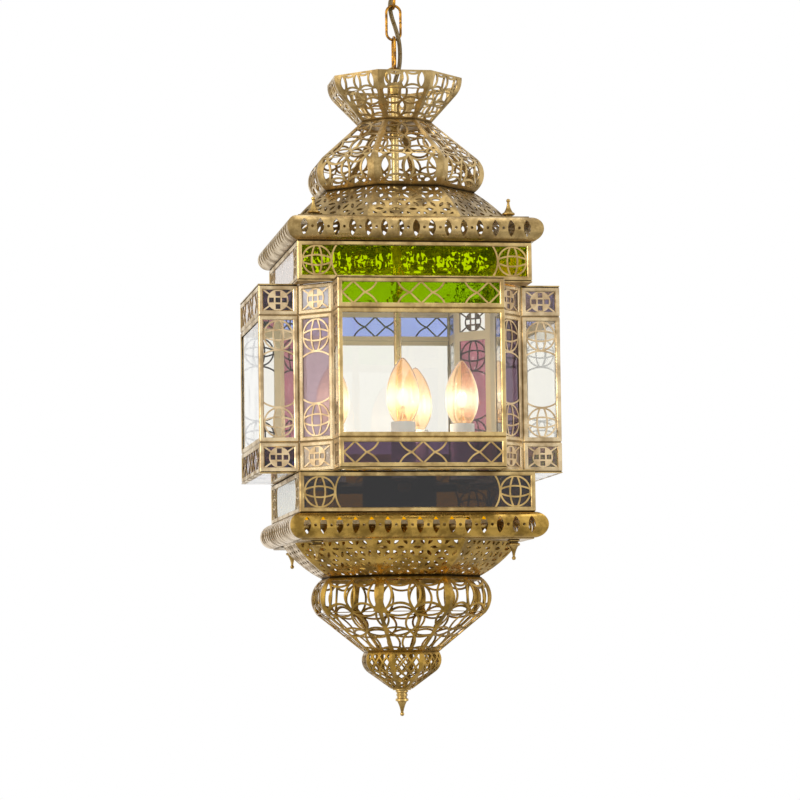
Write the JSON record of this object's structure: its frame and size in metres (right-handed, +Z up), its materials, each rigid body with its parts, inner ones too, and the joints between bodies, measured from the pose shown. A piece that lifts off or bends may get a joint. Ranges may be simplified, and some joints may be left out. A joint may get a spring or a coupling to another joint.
{
  "type": "hanging lantern",
  "caption": "Hanging pierced-brass lantern with coloured glass bays, domed top and tail, candle bulbs inside, a hinged rear door, and a chain with flex to a ceiling canopy.",
  "frame": {"origin": "centre of the ceiling bar's screw holes, on the ceiling plane", "axes": "+Z up into the ceiling, -Y towards the lantern's front bay, the hinged door in the rear bay at +Y"},
  "size_m": [0.316, 0.3256, 0.844],
  "materials": {
    "plated_steel": "zinc plated steel",
    "brass_spun": "spun brass, antique lacquer",
    "brass_cast": "turned brass",
    "brass_came": "folded brass came, antique",
    "brass_fret": "sawn brass sheet",
    "brass_sheet": "pierced brass sheet, antique",
    "chain_brass": "brass plated chain",
    "dark_metal": "dark lacquered steel",
    "cream_sleeve": "cream candle sleeve",
    "white_holder": "moulded lamp holder",
    "bulb_glass": "clear candle bulb",
    "flex": "flat twin flex, brown gold",
    "glass_clear": "clear sheet glass",
    "glass_green": "hammered green glass",
    "glass_purple": "hammered purple glass",
    "glass_rose": "hammered rose glass",
    "glass_slate": "hammered slate glass",
    "glass_blue": "hammered blue glass",
    "glass_amber": "hammered amber glass",
    "glass_opal": "hammered opal glass"
  },
  "bodies": {
    "ceiling": {"ceiling_bar": "plated_steel", "canopy": "brass_spun", "canopy_eye": "brass_cast", "canopy_nipple": "plated_steel", "canopy_locknut": "plated_steel", "flex_1": "flex"},
    "link_upper": {"chain_link_upper": "chain_brass", "flex_2": "flex"},
    "link_middle": {"chain_link_middle": "chain_brass", "flex_3": "flex"},
    "link_lower": {"chain_link_lower": "chain_brass", "flex_4": "flex"},
    "door": {"door_came": "brass_came", "door_glass": "glass_clear", "door_hinge_leaves": "brass_cast", "door_pull": "brass_cast"},
    "lantern": {"band_cames": "brass_came", "band_frets": "brass_fret", "bay_cames": "brass_came", "bay_frets": "brass_fret", "bottom_finial": "brass_cast", "bulb_caps": "brass_cast", "bulb_glasses": "bulb_glass", "candle_cups": "brass_cast", "candle_sleeves": "cream_sleeve", "cluster_arms": "dark_metal", "cluster_cover": "dark_metal", "cluster_hub": "dark_metal", "corner_finials": "brass_cast", "corner_gussets": "brass_sheet", "crown": "brass_sheet", "drop": "brass_sheet", "drop_cap": "brass_cast", "foot_gallery": "brass_sheet", "glass_amber": "glass_amber", "glass_blue": "glass_blue", "glass_clear": "glass_clear", "glass_green": "glass_green", "glass_opal": "glass_opal", "glass_purple": "glass_purple", "glass_rose": "glass_rose", "glass_slate": "glass_slate", "hinge_pins": "brass_cast", "hinge_posts": "brass_cast", "lamp_holders": "white_holder", "lantern_eye": "brass_cast", "ledge_plates": "brass_sheet", "lower_bulb": "brass_sheet", "lower_skirt": "brass_sheet", "neck_nut": "brass_cast", "neck_plate": "brass_sheet", "neck_spool": "brass_cast", "pier_cames": "brass_came", "pier_frets": "brass_fret", "roof_gallery": "brass_sheet", "roof_skirt": "brass_sheet", "square_frets": "brass_fret", "stem": "brass_cast", "upper_bulb": "brass_sheet"}
  },
  "joints": [
    {"name": "upper_link_swing", "type": "hinge", "parent": "ceiling", "child": "link_upper", "pos_m": [0, 0, -0.05635], "axis": [1, 0, 0], "range_deg": [-25, 25], "deforming": ["flex_1"]},
    {"name": "middle_link_swing", "type": "hinge", "parent": "link_upper", "child": "link_middle", "pos_m": [0, 0, -0.0902], "axis": [0, 1, 0], "range_deg": [-25, 25], "deforming": ["flex_2"]},
    {"name": "lower_link_swing", "type": "hinge", "parent": "link_middle", "child": "link_lower", "pos_m": [0, 0, -0.1244], "axis": [1, 0, 0], "range_deg": [-25, 25], "deforming": ["flex_3"]},
    {"name": "lantern_swing", "type": "hinge", "parent": "link_lower", "child": "lantern", "pos_m": [0, 0, -0.1586], "axis": [0, 1, 0], "range_deg": [-25, 25], "deforming": ["flex_4"]},
    {"name": "door_hinge", "type": "hinge", "parent": "lantern", "child": "door", "pos_m": [0.088, 0.16, -0.497], "axis": [0, 0, -1], "range_deg": [0, 110]}
  ]
}
